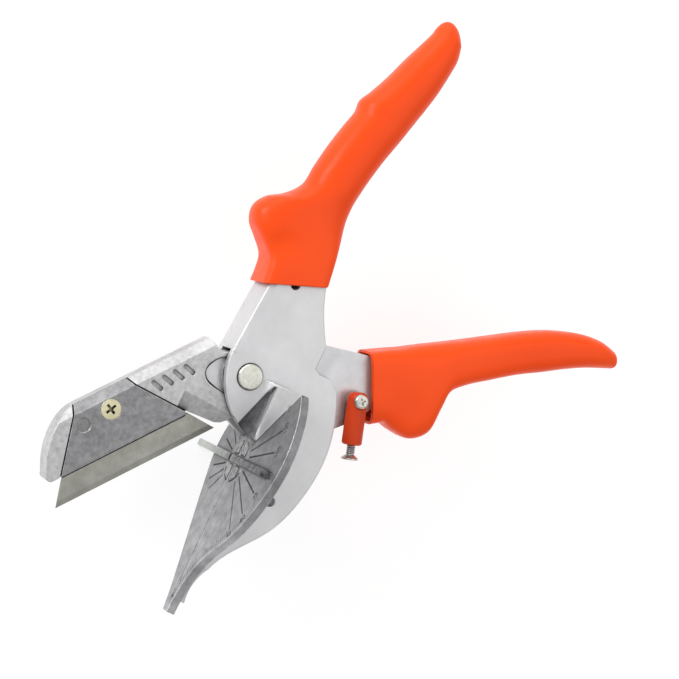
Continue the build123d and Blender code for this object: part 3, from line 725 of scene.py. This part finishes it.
# Ribs cast on the anvil disc, along the cutting line, and a crescent of painted shadow along one side
# of the disc's edge.
RIB_HEIGHT = 0.5
RIB_WIDTH = 0.9
RIB_ROWS = (-4.6, -3.4, -2.2, 2.2, 3.4, 4.6)
RIB_REACH = 7.6
FENCE_GAP = 1.9
SHADOW_RADII = (7.65, 8.3)
SHADOW_SEGMENTS = 96
rib_mesh = bmesh.new()


def add_rib(mesh, start_x, end_x, z, width, height):
    """A rounded ridge along X on the table plane, in mm."""
    profile = [(-0.5, 0.0), (-0.42, 0.62), (-0.2, 0.95), (0.2, 0.95), (0.42, 0.62), (0.5, 0.0)]
    rows = []
    for x, rise in ((start_x, 0.3), (start_x + 0.35, 1.0), (end_x - 0.35, 1.0), (end_x, 0.3)):
        rows.append([mesh.verts.new(Vector((x, level * height * rise - 0.03, z + across * width)) * MM)
                     for across, level in profile])
    for low, high in zip(rows, rows[1:]):
        for index in range(len(profile) - 1):
            mesh.faces.new((low[index], low[index + 1], high[index + 1], high[index]))
        mesh.faces.new((low[-1], low[0], high[0], high[-1]))
    mesh.faces.new(rows[0])
    mesh.faces.new(list(reversed(rows[-1])))


for z in RIB_ROWS:
    half_run = math.sqrt(RIB_REACH ** 2 - z * z)
    for start_x, end_x in ((-half_run, -FENCE_GAP), (FENCE_GAP, half_run)):
        add_rib(rib_mesh, start_x, end_x, z, RIB_WIDTH, RIB_HEIGHT)
bmesh.ops.recalc_face_normals(rib_mesh, faces=rib_mesh.faces)
rib_data = bpy.data.meshes.new("anvil_ribs")
rib_mesh.to_mesh(rib_data)
rib_mesh.free()
add_piece("anvil_ribs", rib_data, insert_metal, "anvil_lever")

# Painted shadow: a dark crescent laid on the table beside one side of the disc's edge.
disc_shadow_mesh = bmesh.new()
inner, outer = [], []
for index in range(SHADOW_SEGMENTS):
    turn = 2 * math.pi * index / SHADOW_SEGMENTS
    for ring_points, radius in zip((inner, outer), SHADOW_RADII):
        ring_points.append(disc_shadow_mesh.verts.new((
            radius * math.cos(turn) * MM, TICK_LEVEL * MM, radius * math.sin(turn) * MM)))
for index in range(SHADOW_SEGMENTS):
    following = (index + 1) % SHADOW_SEGMENTS
    if min(abs(inner[index].co.z), abs(inner[following].co.z)) < 0.9 * MM:
        continue
    if max(inner[index].co.x, inner[following].co.x) > -3.2 * MM:
        continue
    disc_shadow_mesh.faces.new((inner[index], outer[index], outer[following], inner[following]))
bmesh.ops.recalc_face_normals(disc_shadow_mesh, faces=disc_shadow_mesh.faces)
loose = [vert for vert in disc_shadow_mesh.verts if not vert.link_faces]
bmesh.ops.delete(disc_shadow_mesh, geom=loose, context="VERTS")
disc_shadow_data = bpy.data.meshes.new("anvil_disc_shadow")
disc_shadow_mesh.to_mesh(disc_shadow_data)
disc_shadow_mesh.free()
add_piece("anvil_disc_shadow", disc_shadow_data, engraving_and_shadow, "anvil_lever")

# Painted shadow lines on the blade lever, and a ring of painted shade round the pivot head.
PLATE_FACE = 8.0
RECESS_FLOOR = 3.3
BLADE_FACE = 0.3
PROUD = 0.02


def face_ribbon(name, points, width, level, place, body, closed=False):
    """A thin dark strip along a run of points on a face square to the pivot axis, in mm, laid as a
    painted shadow line.
    """
    mesh = bmesh.new()
    pairs = []
    count = len(points)
    for index, point in enumerate(points):
        before = points[index - 1] if index or closed else point
        after = points[(index + 1) % count] if index < count - 1 or closed else point
        along = (Vector(after[:2]) - Vector(before[:2])).normalized()
        side = Vector((-along.y, along.x)) * width / 2
        pairs.append([mesh.verts.new(place(point[0] + side.x * sign, point[1] + side.y * sign, level))
                      for sign in (1, -1)])
    joined = list(zip(pairs, pairs[1:])) + ([(pairs[-1], pairs[0])] if closed else [])
    for low, high in joined:
        mesh.faces.new((low[0], low[1], high[1], high[0]))
    for face in mesh.faces:
        face.normal_update()
        if face.normal.z < 0:
            face.normal_flip()
    data = bpy.data.meshes.new(name)
    mesh.to_mesh(data)
    mesh.free()
    return add_piece(name, data, engraving_and_shadow, body)


def circle_points(x, y, radius, count=64):
    """Points round a circle."""
    return [(x + radius * math.cos(2 * math.pi * index / count),
             y + radius * math.sin(2 * math.pi * index / count)) for index in range(count)]


# Painted shadow along the wall of the recess next to the pivot.
RECESS_EDGE = ((-4.6, 9.5), (-8.0, 9.65), (-11.9, 8.3), (-13.2, 5.4), (-12.4, 2.5), (-10.4, -1.6))
face_ribbon("recess_shadow_line", smooth_run(RECESS_EDGE, 8), 0.85, RECESS_FLOOR + PROUD, on_blade_lever,
            "blade_lever")
# Painted shadow under the cover's lower edge on the blade.
COVER_EDGE = ((-71.2, -3.4), (-48.0, -3.4), (-24.2, -3.4))
face_ribbon("cover_shadow_line", COVER_EDGE, 1.35, BLADE_FACE + PROUD, on_blade_lever, "blade_lever")
# Painted shade: a dark ring round the pivot head on the plate.
HEAD_LINE_RADIUS = 4.6
face_ribbon("pivot_head_shade_ring", circle_points(0, 0, HEAD_LINE_RADIUS), 0.34, PLATE_FACE + TICK_LEVEL,
            about_pivot, "anvil_lever", closed=True)
SHANK_HOLE = (34.9, -0.4)
SHANK_HOLE_RADIUS = 1.66
SHANK_HOLE_FLOOR = 5.3
# Painted shadow: a dark disc laid inside the shank hole.
shank_shadow = bmesh.new()
shank_shadow.faces.new([shank_shadow.verts.new(about_pivot(x, y, SHANK_HOLE_FLOOR))
                        for x, y in circle_points(*SHANK_HOLE, SHANK_HOLE_RADIUS, 40)])
shank_data = bpy.data.meshes.new("shank_hole_shadow")
shank_shadow.to_mesh(shank_data)
shank_shadow.free()
add_piece("shank_hole_shadow", shank_data, engraving_and_shadow, "anvil_lever")

# Thread on the bare length of the latch's hook screw.
latch_joint = Vector(joints["latch_swing"]["pos_m"])
LATCH_ANGLE = -121.9
SLEEVE_LENGTH = 15.4
HOOK_REACH = 20.6
latch_turn = open_turn @ Matrix.Rotation(math.radians(LATCH_ANGLE), 4, "Z")
THREAD_PITCH = 0.8
THREAD_ROOT = 1.27
THREAD_DEPTH = 0.30
THREAD_STEPS = 60
THREAD_SEGMENTS = 28
thread_rings = []
thread_start = SLEEVE_LENGTH - 0.8
thread_end = HOOK_REACH - 1.9
for step in range(THREAD_STEPS + 1):
    along = thread_start + (thread_end - thread_start) * step / THREAD_STEPS
    ring_points = []
    for index in range(THREAD_SEGMENTS):
        turn = 2 * math.pi * index / THREAD_SEGMENTS
        phase = (along / THREAD_PITCH - index / THREAD_SEGMENTS) % 1.0
        radius = THREAD_ROOT + THREAD_DEPTH * (1 - abs(2 * phase - 1))
        point = Vector((along, radius * math.cos(turn), radius * math.sin(turn))) * MM
        ring_points.append(latch_joint + latch_turn @ point)
    thread_rings.append(ring_points)
add_piece("hook_thread", ring_mesh("hook_thread", thread_rings, close_start=True), spring_metal,
          "latch")

# ---------------------------------------------------------------- stage, light, camera

FLOOR_HALF = 3.0
FLOOR_GAP = 0.0002
floor_z = cad_low.z - FLOOR_GAP
floor_mesh = bmesh.new()
floor_mesh.faces.new([floor_mesh.verts.new((x * FLOOR_HALF, y * FLOOR_HALF, floor_z))
                      for x, y in ((-1, -1), (1, -1), (1, 1), (-1, 1))])
floor_data = bpy.data.meshes.new("floor")
floor_mesh.to_mesh(floor_data)
floor_mesh.free()
floor = bpy.data.objects.new("floor", floor_data)
bpy.context.scene.collection.objects.link(floor)
mat, nodes, links, shader = new_material("pale_floor")
coords = nodes.new("ShaderNodeTexCoord").outputs["Object"]
links.new(ramp(nodes, links, noise(nodes, links, coords, 3.0),
               [(0.3, (0.36, 0.36, 0.36)), (0.7, (0.38, 0.38, 0.38))]),
          shader.inputs["Base Color"])
shader.inputs["Roughness"].default_value = 0.9
shader.inputs["Emission Color"].default_value = (1, 1, 1, 1)
shader.inputs["Emission Strength"].default_value = 0.70
floor_data.materials.append(mat)

# The camera looks at the table from its raised side, with the tool lying on its back.
camera_right = Vector((0.43396, -0.82659, 0.35836))
camera_up = Vector((0.89831, 0.42733, -0.10214))
camera_back = Vector((-0.06871, 0.36625, 0.92798))
camera_distance = 0.7299
aim_offset = (0.03517, 0.04148)
SENSOR_WIDTH = 36.0
FOCAL_LENGTH = 112.43
camera_data = bpy.data.cameras.new("camera")
camera = bpy.data.objects.new("camera", camera_data)
bpy.context.scene.collection.objects.link(camera)
bpy.context.scene.camera = camera
place = (camera_right * aim_offset[0] + camera_up * aim_offset[1]
         + camera_back * camera_distance)
camera.matrix_world = Matrix((
    (camera_right.x, camera_up.x, camera_back.x, place.x),
    (camera_right.y, camera_up.y, camera_back.y, place.y),
    (camera_right.z, camera_up.z, camera_back.z, place.z),
    (0, 0, 0, 1),
))
camera_data.sensor_width = SENSOR_WIDTH
camera_data.lens = FOCAL_LENGTH
camera_data.clip_start = 0.02
camera_data.clip_end = 20.0


def area_light(name, position, target, size, power):
    """A square soft light aimed at a point."""
    data = bpy.data.lights.new(name, "AREA")
    data.size = size
    data.energy = power
    light = bpy.data.objects.new(name, data)
    bpy.context.scene.collection.objects.link(light)
    light.location = position
    direction = Vector(target) - Vector(position)
    light.rotation_euler = direction.to_track_quat("-Z", "Y").to_euler()


middle = (cad_low + cad_high) / 2


def from_camera(right, up, back):
    """A place given along the camera's own axes from the middle of the tool."""
    return middle + camera_right * right + camera_up * up + camera_back * back


area_light("key", from_camera(-0.55, 0.55, 0.7), middle, 0.45, 4.2)
area_light("fill", from_camera(0.7, 0.0, 0.6), middle, 0.7, 1.2)
area_light("top", from_camera(0.0, 0.9, 0.3), middle, 0.6, 1.6)

world = bpy.data.worlds.new("studio")
bpy.context.scene.world = world
world.use_nodes = True
sky_nodes = world.node_tree.nodes
sky_links = world.node_tree.links
direction = sky_nodes.new("ShaderNodeTexCoord").outputs["Generated"]
toward = sky_nodes.new("ShaderNodeVectorMath")
toward.operation = "DOT_PRODUCT"
sky_links.new(direction, toward.inputs[0])
toward.inputs[1].default_value = (-camera_right * 0.6 + camera_up * 0.8).normalized()
level = spread(sky_nodes, sky_links, toward.outputs["Value"], 0.55, 0.95, -0.8, 0.8)
sky_nodes["Background"].inputs["Color"].default_value = (1, 1, 1, 1)
sky_links.new(level, sky_nodes["Background"].inputs["Strength"])

bpy.context.scene.view_settings.view_transform = "Standard"
